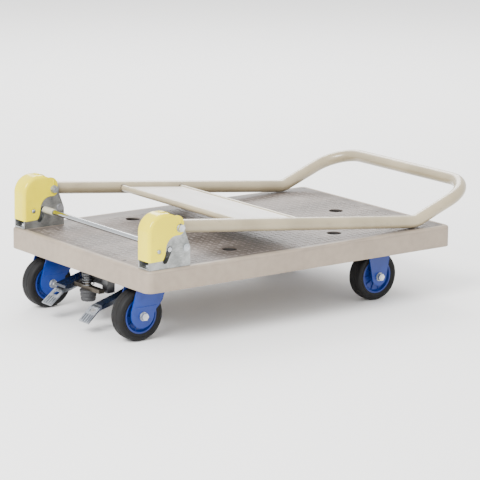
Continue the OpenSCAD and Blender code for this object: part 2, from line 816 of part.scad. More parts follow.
// The wide lever on the far side, with a turned-down lip and its sleeve
module lock_lever() {
    color([0.20, 0.22, 0.30]) at_shaft() difference() {
        union() {
            wall_y(42, 44.5) polygon([[-20, 11.5], [-50, 3], [-106, -12], [-107, -17], [-98, -18], [-40, -8]]);
            wall_y(73.9, 76.4) polygon([[9, 0], [5, 8], [-20, 11.5], [-50, 3], [-106, -12], [-107, -17],
                [-98, -18], [-40, -8], [-9, -6], [0, -9]]);
            wall_y(42, 76.4) polygon([[-20, 11.5], [-50, 3], [-106, -12], [-107, -17], [-104.6, -17.6],
                [-103.9, -14], [-49.4, 0.5], [-20, 8.8]]);
            wall_y(50, 76.4) polygon([[0, 9], [-20, 11.5], [-20, 8.8], [-6, 5]]);
            wall_y(52, 54.5) polygon([[0, 8], [-20, 9], [-20, -2], [-9, -6]]);
            rod_y(9, 49, 76.4);
        }
        rod_y(shaft_d / 2, -100, 100);
    }
}

// The side flange of the arm under the wide lever
module lock_flange() {
    polygon([[-50, 0.25], [-96, -11.95], [-96, -17.6], [-111, -21.2], [-111, -24], [-109, -27],
        [-92, -25], [-50, -12]]);
}

// The arm and pad fixed under the wide lever
module lock_pad() {
    color([0.45, 0.46, 0.48]) at_shaft() difference() {
        union() {
            rotate([0, lock_raise, 0]) translate([0, pedal_y, 0]) foot_pad();
            wall_y(pedal_y - 13, pedal_y - 10.5) lock_flange();
            wall_y(pedal_y + 8.5, pedal_y + 11) lock_flange();
            wall_y(pedal_y - 13, pedal_y + 11) polygon([[-50, 0.25], [-96, -11.95], [-96, -17.6], [-111, -21.2],
                [-110, -24], [-93.5, -20], [-93.5, -14], [-50, -2.25]]);
        }
        rod_y(10, -100, 100);
    }
}

// The tube that guides the plunger
module plunger_guide() {
    color([0.20, 0.21, 0.24]) translate([plunger_x, 0, 0]) difference() {
        union() {
            translate([0, 0, 84]) cylinder(r = 8.9, h = pad_bottom - 84);
            translate([0, 0, pad_bottom - 6]) cylinder(r = 13, h = 3);
        }
        translate([0, 0, 50]) cylinder(r = plunger_d / 2 + 0.05, h = 100);
    }
}

// The plunger and the cross bar it carries
module plunger() {
    color([0.33, 0.34, 0.36]) translate([plunger_x, 0, 0]) {
        translate([0, 0, foot_gap + 20]) cylinder(r = plunger_d / 2, h = 143 - foot_gap - 20);
        translate([-6, -46, foot_gap + 22]) cube([12, 87, 8]);
    }
}

// The return spring around the guide
module plunger_spring() {
    color([0.55, 0.56, 0.58]) translate([plunger_x, 0, foot_gap + 30.4])
        coil(11, 1.8, pad_bottom - 6.4 - foot_gap - 30.4, 9);
}

// The rubber foot that is pressed on the floor
module rubber_foot() {
    color([0.22, 0.22, 0.23]) translate([plunger_x, 0, foot_gap]) difference() {
        rotate_extrude() polygon([[0, 0], [13, 0], [15, 2], [17.5, 22], [0, 22]]);
        translate([0, 0, 20]) cylinder(r = plunger_d / 2, h = 5);
    }
}

// The four screws that hold the stopper frame to the deck
module stopper_bolts() {
    color([0.70, 0.71, 0.72]) translate([-290, 0, 0]) four(38, 14) {
        translate([0, 0, pad_bottom - 5]) cylinder(r = 3, h = 12);
        translate([0, 0, pad_bottom - 7]) hex(10, 4);
    }
}

// ---------------------------------------------------------------- nodes

translate([cart_shift, 0, 0]) {
    deck_plate();
    deck_skirt();
    deck_mat();
    hinge_bracket(1);  // hinge_bracket_L
    hinge_bracket(-1);  // hinge_bracket_R
    hinge_cap(1);  // hinge_cap_L
    hinge_cap(-1);  // hinge_cap_R
    pivot_bolt(1);  // pivot_bolt_L
    pivot_bolt(-1);  // pivot_bolt_R
    stop_pin(1);  // stop_pin_L
    stop_pin(-1);  // stop_pin_R
    cap_screws();
    bracket_bolts();
    lock_rod();
    rod_collar(1);  // rod_collar_L
    rod_collar(-1);  // rod_collar_R
    rod_spring(1);  // rod_spring_L
    rod_spring(-1);  // rod_spring_R
    handle_tube();
    cross_tube(cross_a);  // cross_tube_low
    cross_tube(cross_b);  // cross_tube_high
    handle_panel();
    pivot_bush(1);  // pivot_bush_L
    pivot_bush(-1);  // pivot_bush_R
    tail_plugs();
    swivel_plate(1);  // swivel_plate_L
    swivel_plate(-1);  // swivel_plate_R
    kingpin(1);  // kingpin_L
    kingpin(-1);  // kingpin_R
    swivel_fork(1);  // swivel_fork_L
    swivel_fork(-1);  // swivel_fork_R
    ball_race(1);  // ball_race_L
    ball_race(-1);  // ball_race_R
    at_swivel(1) translate([-swivel_trail, 0, 0]) axle(22);  // swivel_axle_L
    at_swivel(-1) translate([-swivel_trail, 0, 0]) axle(22);  // swivel_axle_R
    at_swivel(1) translate([-swivel_trail, 0, 0]) hub();  // swivel_hub_L
    at_swivel(-1) translate([-swivel_trail, 0, 0]) hub();  // swivel_hub_R
    at_swivel(1) translate([-swivel_trail, 0, 0]) tyre();  // swivel_tyre_L
    at_swivel(-1) translate([-swivel_trail, 0, 0]) tyre();  // swivel_tyre_R
    fixed_fork(1);  // fixed_fork_L
    fixed_fork(-1);  // fixed_fork_R
    at_fixed(1) axle(22);  // fixed_axle_L
    at_fixed(-1) axle(22);  // fixed_axle_R
    at_fixed(1) hub();  // fixed_hub_L
    at_fixed(-1) hub();  // fixed_hub_R
    at_fixed(1) tyre();  // fixed_tyre_L
    at_fixed(-1) tyre();  // fixed_tyre_R
    caster_bolts();
    stopper_frame();
    stopper_shaft();
    lock_lever();
    lock_pad();
    release_arm();
    plunger_guide();
    plunger();
    plunger_spring();
    rubber_foot();
    stopper_bolts();
}
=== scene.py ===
import json
import math

import bpy
from mathutils import Matrix, Vector


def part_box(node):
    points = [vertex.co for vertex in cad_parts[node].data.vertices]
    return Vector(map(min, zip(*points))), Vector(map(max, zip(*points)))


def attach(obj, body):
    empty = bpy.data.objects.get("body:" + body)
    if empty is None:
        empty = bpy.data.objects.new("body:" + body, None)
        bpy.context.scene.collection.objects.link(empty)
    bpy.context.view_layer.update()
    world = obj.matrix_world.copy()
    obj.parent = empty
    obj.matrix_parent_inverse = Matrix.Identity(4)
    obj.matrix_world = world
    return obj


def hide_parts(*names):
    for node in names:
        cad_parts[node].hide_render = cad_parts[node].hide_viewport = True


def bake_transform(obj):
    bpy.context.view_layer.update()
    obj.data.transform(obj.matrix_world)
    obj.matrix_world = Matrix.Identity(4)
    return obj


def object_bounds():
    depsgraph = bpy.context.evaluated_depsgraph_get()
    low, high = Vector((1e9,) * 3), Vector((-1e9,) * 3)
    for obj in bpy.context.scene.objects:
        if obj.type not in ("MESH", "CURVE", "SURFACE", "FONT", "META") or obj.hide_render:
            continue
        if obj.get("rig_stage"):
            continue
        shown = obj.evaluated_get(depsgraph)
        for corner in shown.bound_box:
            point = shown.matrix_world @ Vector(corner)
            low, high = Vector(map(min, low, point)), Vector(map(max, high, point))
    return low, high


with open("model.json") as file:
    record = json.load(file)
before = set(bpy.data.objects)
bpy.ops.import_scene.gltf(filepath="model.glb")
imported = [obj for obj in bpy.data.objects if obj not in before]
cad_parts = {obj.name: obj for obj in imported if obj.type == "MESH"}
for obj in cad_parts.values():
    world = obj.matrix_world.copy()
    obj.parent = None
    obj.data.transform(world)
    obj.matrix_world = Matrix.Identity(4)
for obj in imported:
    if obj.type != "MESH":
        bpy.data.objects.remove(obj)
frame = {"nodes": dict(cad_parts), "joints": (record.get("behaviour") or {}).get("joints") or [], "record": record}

cad_low, cad_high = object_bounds()
joints = {joint["name"]: joint for joint in frame["joints"]}

# ------------------------------------------------------------ camera, floor and light
# A long lens looks down at the swivel end from the near side. The floor is a
# pale studio sweep, lit by two large soft panels and an even sky.

camera_place = (-2.9497, -3.9220, 1.2140)
azimuth = math.radians(-36.84)
elevation = math.radians(12.60)
roll = math.radians(0.695)
sight = Vector((-math.sin(azimuth) * math.cos(elevation), math.cos(azimuth) * math.cos(elevation),
                -math.sin(elevation)))
right = Vector((math.cos(azimuth), math.sin(azimuth), 0.0))
stance = Matrix((right, right.cross(sight), -sight)).transposed() @ Matrix.Rotation(roll, 3, "Z")
bpy.ops.object.camera_add(location=camera_place, rotation=stance.to_euler())
camera = bpy.context.object
camera.data.lens = 188.2
camera.data.sensor_width = 36.0
camera.data.clip_end = 100.0
bpy.context.scene.camera = camera


def clear_selection():
    """Back to object mode with nothing selected."""
    if bpy.context.mode != "OBJECT":
        bpy.ops.object.mode_set(mode="OBJECT")
    bpy.ops.object.select_all(action="DESELECT")


def linear(code):
    """A colour given as six hex digits, as the shaders want it."""
    parts = [int(code[i:i + 2], 16) / 255 for i in (0, 2, 4)]
    return tuple(p / 12.92 if p < 0.04045 else ((p + 0.055) / 1.055) ** 2.4 for p in parts) + (1.0,)


class Wire:
    """A shader socket that can be summed, multiplied and led into new nodes."""

    def __init__(self, socket):
        self.socket = socket
        self.tree = socket.id_data

    def node(self, kind, settings=None, sockets=None, out=0):
        """Adds a node with its settings, then the values or wires of its sockets."""
        made = self.tree.nodes.new("ShaderNode" + kind)
        for key, value in (settings or {}).items():
            setattr(made, key, value)
        for key, value in (sockets or {}).items():
            if isinstance(value, Wire):
                self.tree.links.new(value.socket, made.inputs[key])
            else:
                made.inputs[key].default_value = value
        return Wire(made.outputs[out])

    def math(self, operation, first, second=0.0):
        return self.node("Math", {"operation": operation}, {0: first, 1: second})

    def __add__(self, other):
        return self.math("ADD", self, other)

    __radd__ = __add__

    def __mul__(self, other):
        return self.math("MULTIPLY", self, other)

    __rmul__ = __mul__

    def __sub__(self, other):
        return self.math("SUBTRACT", self, other)

    def __rsub__(self, other):
        return self.math("SUBTRACT", other, self)

    def noise(self, scale, detail=3.0, stretch=(1.0, 1.0, 1.0)):
        """Clouds of a number of cells per metre, drawn out along the small stretches."""
        spread = self.node("Mapping", None, {"Vector": self, "Scale": stretch})
        return self.node("TexNoise", None, {"Vector": spread, "Scale": scale, "Detail": detail}, "Fac")

    def step(self, low, high):
        """0 below low, 1 above high and a soft ramp between."""
        return self.node("MapRange", {"interpolation_type": "SMOOTHSTEP"},
                         {"Value": self, "From Min": low, "From Max": high})

    def blend(self, first, second):
        """The first colour where this is 0 and the second where it is 1."""
        return self.node("Mix", {"data_type": "RGBA"}, {0: self, 6: first, 7: second}, 2)

    def axis(self, name):
        """One coordinate of a place."""
        return self.node("SeparateXYZ", None, {"Vector": self}, name)


def new_paint(name):
    """A new material, and the wire of its places."""
    material = bpy.data.materials.new(name)
    material.use_nodes = True
    material.node_tree.nodes.clear()
    return material, Wire(material.node_tree.nodes.new("ShaderNodeTexCoord").outputs["Object"])


def close_paint(material, place, colour, roughness, metallic=0.0, height=None, depth=0.0, fixed=None):
    """Leads colour, roughness and relief into the surface of a material."""
    sockets = {"Base Color": colour, "Roughness": roughness, "Metallic": metallic, **(fixed or {})}
    if height is not None:
        sockets["Normal"] = place.node("Bump", None, {"Height": height, "Strength": 1.0, "Distance": depth})
    surface = place.node("BsdfPrincipled", None, sockets)
    output = place.tree.nodes.new("ShaderNodeOutputMaterial")
    place.tree.links.new(surface.socket, output.inputs["Surface"])
    return material


floor_paint, place = new_paint("studio_floor")
close_paint(floor_paint, place, place.noise(0.6).blend(linear("eeeeee"), linear("f4f3f1")), 0.85,
            height=place.noise(220.0), depth=0.0001)
clear_selection()
bpy.ops.mesh.primitive_plane_add(size=30.0)
floor = bpy.context.object
floor.name = "studio_floor"
floor.data.materials.append(floor_paint)
floor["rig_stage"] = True

world = bpy.data.worlds.new("studio")
world.use_nodes = True
world.node_tree.nodes["Background"].inputs["Color"].default_value = (1.0, 1.0, 1.0, 1.0)
world.node_tree.nodes["Background"].inputs["Strength"].default_value = 2.0
bpy.context.scene.world = world

aim = (cad_low + cad_high) / 2
for name, spot, size, power in (
    ("key_panel", Vector((-3.3, -1.2, 2.9)), 2.0, 320.0),
    ("rim_panel", Vector((1.8, 2.6, 2.6)), 2.2, 150.0),
):
    facing = (aim - spot).to_track_quat("-Z", "Y").to_euler()
    bpy.ops.object.light_add(type="AREA", location=spot, rotation=facing)
    panel = bpy.context.object
    panel.name = name
    panel.data.size = size
    panel.data.energy = power

# ------------------------------------------------------------ deck
# One moulding of pale polypropylene: a ribbed plate with a deep skirt, softened
# along every edge. It carries all the metal parts on bolts through its pads.


def modify(piece, kind, **settings):
    """Adds a modifier, sets it up and applies it."""
    clear_selection()
    bpy.context.view_layer.objects.active = piece
    piece.select_set(True)
    modifier = piece.modifiers.new(kind.lower(), kind)
    for key, value in settings.items():
        setattr(modifier, key, value)
    bpy.ops.object.modifier_apply(modifier=modifier.name)
    return piece


def settle(piece, name, body, slot, paint, *nodes):
    """Names a finished piece, paints it and ties it to its body; a piece given two bodies is left in place, tied
    to neither.
    """
    piece.name = name
    piece.data.name = name
    piece.data.materials.clear()
    piece.data.materials.append(paint)
    clear_selection()
    bpy.context.view_layer.objects.active = piece
    piece.select_set(True)
    bpy.ops.object.shade_smooth_by_angle(angle=math.radians(35.0))
    modify(piece, "WEIGHTED_NORMAL", keep_sharp=True, weight=80)
    if isinstance(body, str):
        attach(piece, body)
    else:
        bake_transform(piece)
    if nodes:
        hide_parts(*nodes)
    return piece


def soften(piece, width, segments=2, angle=35.0):
    """Rounds the sharp edges of a piece."""
    return modify(piece, "BEVEL", width=width, segments=segments, limit_method="ANGLE",
                  angle_limit=math.radians(angle), use_clamp_overlap=True)


body_of = {node: body for body, nodes in frame["record"]["behaviour"]["bodies"].items() for node in nodes}
slot_of = {row["node"]: row["material_slot"] for row in frame["record"]["subparts"]}


def dressed(node, name, paint, width):
    """A copy of a machined part with its doubles merged and its edges broken."""
    clear_selection()
    piece = frame["nodes"][node].copy()
    piece.data = piece.data.copy()
    for key in [key for key in piece.keys() if key.startswith("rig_")]:
        del piece[key]
    piece.parent = None
    bpy.context.scene.collection.objects.link(piece)
    piece.hide_render = False
    piece.hide_viewport = False
    piece.select_set(True)
    bpy.context.view_layer.objects.active = piece
    bpy.ops.object.mode_set(mode="EDIT")
    bpy.ops.mesh.select_all(action="SELECT")
    bpy.ops.mesh.remove_doubles(threshold=0.000002)
    bpy.ops.mesh.dissolve_limited(angle_limit=math.radians(0.6))
    bpy.ops.object.mode_set(mode="OBJECT")
    if piece.data.has_custom_normals:
        bpy.ops.mesh.customdata_custom_splitnormals_clear()
    if width:
        soften(piece, width)
    return settle(piece, name, body_of[node], slot_of[node], paint, node)


deck_low, deck_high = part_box("deck_plate")
skirt_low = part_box("deck_skirt")[0]
deck_paint, place = new_paint("deck_plastic")
skin = place.noise(9.0, 4.0) * 0.6 + place.noise(70.0, 3.0) * 0.4
up_edge = place.axis("Z").step(deck_high.z - 0.007, deck_high.z - 0.001)
low_edge = 1.0 - place.axis("Z").step(skirt_low.z, skirt_low.z + 0.008)
scuff = (up_edge + low_edge * 0.8) * place.noise(60.0, 6.0, (0.25, 0.25, 1.0)).step(0.50, 0.66)
base = skin.step(0.30, 0.72).blend(linear("887b6c"), linear("958878"))
base = (scuff * 0.40).blend(base, linear("746a60"))
grime = place.noise(26.0, 5.0, (1.0, 1.0, 0.4)).step(0.58, 0.80)
base = (grime * 0.18).blend(base, linear("675f57"))
strap_holes = [Vector(mount["pos_m"]) for mount in frame["record"]["mounts"] if mount["kind"] == "bore"]
strap_radius = 0.015
# The walls of the strap holes are painted near black: painted shade down inside each hole.
hole_shade_start = (strap_radius + 0.0001) ** 2
hole_shade_end = (strap_radius + 0.0006) ** 2
for hole in strap_holes:
    away_x = place.axis("X") - hole.x
    away_y = place.axis("Y") - hole.y
    outside = (away_x * away_x + away_y * away_y).step(hole_shade_start, hole_shade_end)
    base = outside.blend(linear("1d1a18"), base)
close_paint(deck_paint, place, base, 0.46 + place.noise(120.0) * 0.16,
            height=place.noise(1900.0, 2.0) * 0.7 + place.noise(260.0, 2.0) * 0.3, depth=0.00012)
dressed("deck_plate", "deck_moulding", deck_paint, 0.0)
dressed("deck_skirt", "deck_skirt_wall", deck_paint, 0.0008)

# ------------------------------------------------------------ anti-slip mat
# A sheet of soft vinyl let into the top of the deck and held by four plastic
# rivets. Low bars, turned by a quarter from one to the next, stand on it.

mat_low, mat_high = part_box("deck_mat")
mat_paint, place = new_paint("mat_vinyl")
smear = place.noise(7.0, 5.0, (0.5, 1.6, 1.0))
base = smear.step(0.34, 0.68).blend(linear("4c443e"), linear("6f6660"))
streak = place.noise(30.0, 4.0, (0.12, 1.0, 1.0)).step(0.55, 0.74)
base = (streak * 0.45).blend(base, linear("3c342e"))
dust = place.noise(14.0, 6.0).step(0.54, 0.78)
base = (dust * 0.50).blend(base, linear("a09892"))
# The tops of the bars are painted lighter: a painted highlight.
bar_top_highlight = place.axis("Z").step(mat_high.z - 0.0001, mat_high.z + 0.0003)
base = (bar_top_highlight * 0.50).blend(base, linear("a59d97"))
close_paint(mat_paint, place, base, 0.36 + smear * 0.22 + dust * 0.14,
            height=place.noise(900.0, 3.0), depth=0.00010, fixed={"Specular IOR Level": 0.25})

mat = dressed("deck_mat", "mat_sheet", mat_paint, 0.0)
mat_drop = 0.0003
for vertex in mat.data.vertices:
    if vertex.co.z > mat_high.z - 0.0001:
        vertex.co.z -= mat_drop

bar_pitch = 0.0150
bar_length = 0.0112
bar_width = 0.0032
bar_taper = 0.0006
bar_margin = 0.012
bar_off_hole = 0.0085
bar_off_bracket = 0.011
bar_foot = mat_high.z - mat_drop - 0.0001
bar_crown = mat_high.z + 0.0003


def bar(middle, along_x):
    """One low bar of the pattern: a block whose top is drawn in."""
    size = (bar_length, bar_width) if along_x else (bar_width, bar_length)
    clear_selection()
    bpy.ops.mesh.primitive_cube_add(size=1.0, location=(*middle, (bar_foot + bar_crown) / 2),
                                    scale=(*size, bar_crown - bar_foot))
    bpy.ops.object.transform_apply(location=True, rotation=True, scale=True)
    piece = bpy.context.object
    for vertex in piece.data.vertices:
        if vertex.co.z > bar_foot + 0.0001:
            vertex.co.x += math.copysign(bar_taper, middle[0] - vertex.co.x)
            vertex.co.y += math.copysign(bar_taper, middle[1] - vertex.co.y)
    return piece


def joined(pieces):
    """Several meshes made into one."""
    clear_selection()
    for piece in pieces:
        piece.select_set(True)
    bpy.context.view_layer.objects.active = pieces[0]
    bpy.ops.object.join()
    return pieces[0]


corner = (mat_low.x + bar_margin, mat_low.y + bar_margin)
tile = joined([bar((corner[0] + i * bar_pitch, corner[1] + j * bar_pitch), (i + j) % 2 == 0)
               for i in range(2) for j in range(2)])
verts_per_bar = len(tile.data.vertices) // 4
across_x = int((mat_high.x - mat_low.x - bar_margin) / (2 * bar_pitch))
across_y = int((mat_high.y - mat_low.y - bar_margin) / (2 * bar_pitch))
modify(tile, "ARRAY", count=across_x, use_relative_offset=False, use_constant_offset=True,
       constant_offset_displace=(2 * bar_pitch, 0.0, 0.0))
modify(tile, "ARRAY", count=across_y, use_relative_offset=False, use_constant_offset=True,
       constant_offset_displace=(0.0, 2 * bar_pitch, 0.0))
notches = [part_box("hinge_bracket_L"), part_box("hinge_bracket_R")]


def bar_is_off(spot):
    """Whether a bar would stand over a strap hole or under a bracket."""
    if any((spot.xy - hole.xy).length < strap_radius + bar_off_hole for hole in strap_holes):
        return True
    room = bar_off_bracket
    return any(low.x - room < spot.x < high.x + room and low.y - room < spot.y < high.y + room
               for low, high in notches)


bpy.ops.object.mode_set(mode="EDIT")
bpy.ops.mesh.select_mode(type="VERT")
bpy.ops.mesh.select_all(action="DESELECT")
bpy.ops.object.mode_set(mode="OBJECT")
vertices = tile.data.vertices
for start in range(0, len(vertices), verts_per_bar):
    group = [vertices[start + k] for k in range(verts_per_bar)]
    middle = sum((vertex.co for vertex in group), Vector()) / verts_per_bar
    for vertex in group:
        vertex.select = bar_is_off(middle)
bpy.ops.object.mode_set(mode="EDIT")
bpy.ops.mesh.delete(type="VERT")
bpy.ops.object.mode_set(mode="OBJECT")
settle(tile, "mat_bars", "chassis", "mat", mat_paint)


def turned(profile, centre, axis, steps=64):
    """A shape turned round an axis from a closed profile of (radius, distance along the axis)."""
    axis = Vector(axis).normalized()
    side = axis.orthogonal().normalized()
    clear_selection()
    bpy.ops.mesh.primitive_circle_add(vertices=len(profile), radius=1.0, fill_type="NOTHING")
    piece = bpy.context.object
    for vertex, (radius, along) in zip(piece.data.vertices, profile):
        vertex.co = Vector(centre) + side * radius + axis * along
    bpy.ops.object.mode_set(mode="EDIT")
    bpy.ops.mesh.select_all(action="SELECT")
    bpy.ops.mesh.spin(steps=steps, angle=2 * math.pi, center=centre, axis=axis)
    bpy.ops.mesh.select_all(action="SELECT")
    bpy.ops.mesh.remove_doubles(threshold=0.000001)
    bpy.ops.mesh.dissolve_degenerate(threshold=0.000001)
    bpy.ops.mesh.delete_loose()
    bpy.ops.mesh.select_all(action="SELECT")
    bpy.ops.mesh.normals_make_consistent(inside=False)
    bpy.ops.object.mode_set(mode="OBJECT")
    return piece


def dome(radius, rise, foot, rings=5):
    """The closed profile of a domed head that stands on its foot."""
    arc = [(radius * math.cos(math.pi / 2 * k / rings), rise * math.sin(math.pi / 2 * k / rings))
           for k in range(rings + 1)]
    return [(0.0, -foot), (radius, -foot)] + arc


# The rivet heads are painted near black as painted shade, standing for the shade of small dimples in the mat.
rivet_shade_paint, place = new_paint("rivet_painted_shade")
close_paint(rivet_shade_paint, place, place.noise(300.0).blend(linear("2e2925"), linear("3c3631")), 0.5,
            height=place.noise(1500.0), depth=0.00005)
deck_middle = (deck_low + deck_high) / 2
rivet_head = dome(0.0042, 0.0006, 0.0015)
rivet_spots = ((-0.344, 0.143), (-0.349, -0.133), (0.352, 0.219), (0.348, -0.219))
rivets = [turned(rivet_head, (deck_middle.x + x, deck_middle.y + y, mat_high.z - mat_drop), (0, 0, 1), 24)
          for x, y in rivet_spots]
settle(joined(rivets), "mat_rivets", "chassis", "mat", rivet_shade_paint)

# ------------------------------------------------------------ hinge brackets
# Each bracket is bent from 3 mm steel and zinc plated: a base on the deck and
# a plate either side of the handle's leg. Bolts and a riveted pin go through.


def plated(name, light, dark, rough, grain=(1.0, 1.0, 1.0), scratch=0.5):
    """Bare or plated metal: cloudy, finely scratched and dulled in patches."""
    material, place = new_paint(name)
    cloud = place.noise(45.0, 5.0)
    fine = place.noise(900.0, 3.0, grain)
    patch = place.noise(110.0, 4.0).step(0.52, 0.74)
    tone = (cloud * 0.7 + fine * 0.3).step(0.32, 0.70).blend(linear(dark), linear(light))
    close_paint(material, place, (patch * 0.25).blend(tone, linear(dark)),
                rough + cloud * 0.16 + patch * 0.10 + (fine - 0.5) * 0.2 * scratch, 0.92,
                height=fine, depth=0.00004 * scratch)
    return material


zinc = plated("zinc_plate", "aeb0af", "787a79", 0.28, (0.2, 1.0, 1.0))
bright_zinc = plated("bolt_zinc", "c8cbd0", "8f9498", 0.20)
for side in ("L", "R"):
    dressed("hinge_bracket_" + side, "bracket_" + side, zinc, 0.0006)
    dressed("stop_pin_" + side, "stop_rivet_" + side, bright_zinc, 0.0004)
    dressed("pivot_bolt_" + side, "pivot_" + side, bright_zinc, 0.0005)
dressed("bracket_bolts", "bracket_nuts", bright_zinc, 0.0005)

# ------------------------------------------------------------ hinge caps
# A thin yellow moulding snaps over each bracket. It is rounded where it faces
# outwards, open towards the leg, and cut back in a curve beside the slot.

pivot = Vector(joints["handle_fold"]["pos_m"])
bracket_half = 0.018
leg_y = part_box("hinge_bracket_L")[1].y - bracket_half
cap_half = 0.0204
cap_wall = 0.0022
cap_round = 0.0070


def arc(middle_x, middle_z, radius, start, end, steps=10):
    """Points along an arc, with its angles in degrees."""
    angles = [math.radians(start + (end - start) * k / steps) for k in range(steps + 1)]
    return [(middle_x + radius * math.cos(a), middle_z + radius * math.sin(a)) for a in angles]


def plate(outline, y_low, y_high, origin=(0.0, 0.0)):
    """A flat plate cut to an outline of X and Z, from y_low to y_high."""
    clear_selection()
    bpy.ops.mesh.primitive_circle_add(vertices=len(outline), radius=1.0, fill_type="NGON")
    piece = bpy.context.object
    for vertex, (x, z) in zip(piece.data.vertices, outline):
        vertex.co = (origin[0] + x, y_low, origin[1] + z)
    bpy.ops.object.mode_set(mode="EDIT")
    bpy.ops.mesh.select_all(action="SELECT")
    bpy.ops.mesh.extrude_region_move(TRANSFORM_OT_translate={"value": (0.0, y_high - y_low, 0.0)})
    bpy.ops.mesh.select_all(action="SELECT")
    bpy.ops.mesh.normals_make_consistent(inside=False)
    bpy.ops.object.mode_set(mode="OBJECT")
    return piece


def cut(piece, tool, operation="DIFFERENCE"):
    """Cuts a piece with a tool, or joins or crosses them, and removes the tool."""
    modify(piece, "BOOLEAN", object=tool, operation=operation, solver="EXACT")
    bpy.data.objects.remove(tool)
    return piece


def block(low, high):
    """A block between two corners."""
    clear_selection()
    bpy.ops.mesh.primitive_cube_add(size=1.0, location=(Vector(low) + Vector(high)) / 2,
                                    scale=Vector(high) - Vector(low))
    bpy.ops.object.transform_apply(location=True, rotation=True, scale=True)
    return bpy.context.object


# The outlines are measured from the pivot: the big round at the back, its top,
# the small round over the pivot bolt, the curve beside the slot, and the foot.
back_x = -0.0347
back_z = -0.0052
back_radius = 0.0350
cap_top = back_z + back_radius
cap_back = back_x - back_radius
back_round = arc(back_x, back_z, back_radius, 180, 90, 14)
cap_outline = (back_round + [(-0.0240, cap_top)]
               + arc(-0.0082, 0.0075, 0.0170, 100, 0, 10) + arc(-0.0012, -0.0033, 0.0100, 0, -90, 8)
               + arc(-0.0077, -0.0370, 0.0237, 90, 180, 12) + arc(-0.0427, -0.0490, 0.0090, -10, -90, 6)
               + arc(-0.0677, -0.0565, 0.0020, 270, 180, 4))
cap_outside = back_round + [(0.060, cap_top), (0.060, -0.080), (cap_back, -0.080)]
cap_inside = (arc(back_x, back_z, back_radius - cap_wall, 180, 90, 14)
              + [(0.080, cap_top - cap_wall), (0.080, -0.100), (cap_back + cap_wall, -0.100)])
spot = (pivot.x, pivot.z)
cap = soften(plate(cap_outside, leg_y - cap_half, leg_y + cap_half, spot), cap_round, 6, 60.0)
cut(cap, plate(cap_outline, leg_y - 0.030, leg_y + 0.030, spot), "INTERSECT")
inner = soften(plate(cap_inside, leg_y - cap_half + cap_wall, leg_y + cap_half - cap_wall, spot),
               cap_round - cap_wall, 4, 60.0)
cut(cap, inner)
cap_mouth = 0.0232
cut(cap, block((pivot.x - cap_mouth, leg_y - cap_half + cap_wall, pivot.z - 0.1),
               (pivot.x + 0.1, leg_y + cap_half - cap_wall, pivot.z + 0.1)))
rod_low, rod_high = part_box("lock_rod")
rod_rest = Vector(((rod_low.x + rod_high.x) / 2, 0.0, (rod_low.z + rod_high.z) / 2))
slide = Vector(joints["lock_rod_slide"]["axis"])
rod_travel = joints["lock_rod_slide"]["range_m"][1]
rod_down = rod_rest + slide * rod_travel
slot_turn = math.degrees(math.atan2(slide.z, slide.x))
slot_radius = 0.0066
slot_low = arc(rod_down.x, rod_down.z, slot_radius, slot_turn - 90, slot_turn + 90, 12)
slot_high = arc(rod_rest.x, rod_rest.z, slot_radius, slot_turn + 90, slot_turn + 270, 12)
cut(cap, plate(slot_low + slot_high, leg_y - 0.05, leg_y + 0.05))
screws_low, screws_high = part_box("cap_screws")
screw_x = (screws_low.x + screws_high.x) / 2
screw_z = (screws_low.z + screws_high.z) / 2
dish_depth = 0.0012
dish_floor = 0.0055
dish_radius = 0.0080
dish = [(0.0, -dish_depth), (dish_floor, -dish_depth), (dish_radius, 0.0), (dish_radius, 0.003), (0.0, 0.003)]
for way in (-1, 1):
    cut(cap, turned(dish, (screw_x, leg_y + way * cap_half, screw_z), (0, way, 0), 40))

# A small bump stands on top of the cap and a short upright rib on each face.
bump_low = Vector((-0.0312, -0.0060, 0.0260))
bump_high = Vector((-0.0240, 0.0060, 0.0315))
cap_rib_low = Vector((-0.0012, -0.0010, 0.0085))
cap_rib_high = Vector((0.0012, 0.0010, 0.0190))
cap_pivot = Vector((pivot.x, leg_y, pivot.z))
cut(cap, soften(block(cap_pivot + bump_low, cap_pivot + bump_high), 0.0012), "UNION")
for way in (-1, 1):
    face = cap_pivot + Vector((0.0, way * cap_half, 0.0))
    cut(cap, soften(block(face + cap_rib_low, face + cap_rib_high), 0.0006), "UNION")
soften(cap, 0.0004, 2, 40.0)

cap_paint, place = new_paint("cap_yellow")
flow = place.noise(22.0, 3.0, (1.0, 1.0, 0.4))
base = flow.step(0.3, 0.7).blend(linear("d6c400"), linear("e0d000"))
rub = place.noise(80.0, 6.0, (0.4, 1.0, 1.0)).step(0.60, 0.76)
base = (rub * 0.25).blend(base, linear("988800"))
close_paint(cap_paint, place, base, 0.20 + rub * 0.25 + place.noise(60.0) * 0.08,
            height=place.noise(420.0, 2.0), depth=0.00006,
            fixed={"Specular IOR Level": 0.2, "Coat Weight": 0.3, "Coat Roughness": 0.08})


def twin(piece, matrix):
    """A copy of a piece with its own mesh, moved by a matrix."""
    copy = piece.copy()
    copy.data = piece.data.copy()
    copy.data.transform(matrix)
    bpy.context.scene.collection.objects.link(copy)
    return copy


far_cap = twin(cap, Matrix.Translation((0.0, -2 * leg_y, 0.0)))
settle(cap, "cap_L", "chassis", "cap", cap_paint, "hinge_cap_L")
settle(far_cap, "cap_R", "chassis", "cap", cap_paint, "hinge_cap_R")


def turn_about(point, angle, axis):
    """A turn round an axis through a point."""
    return Matrix.Translation(point) @ Matrix.Rotation(angle, 4, axis) @ Matrix.Translation(-point)


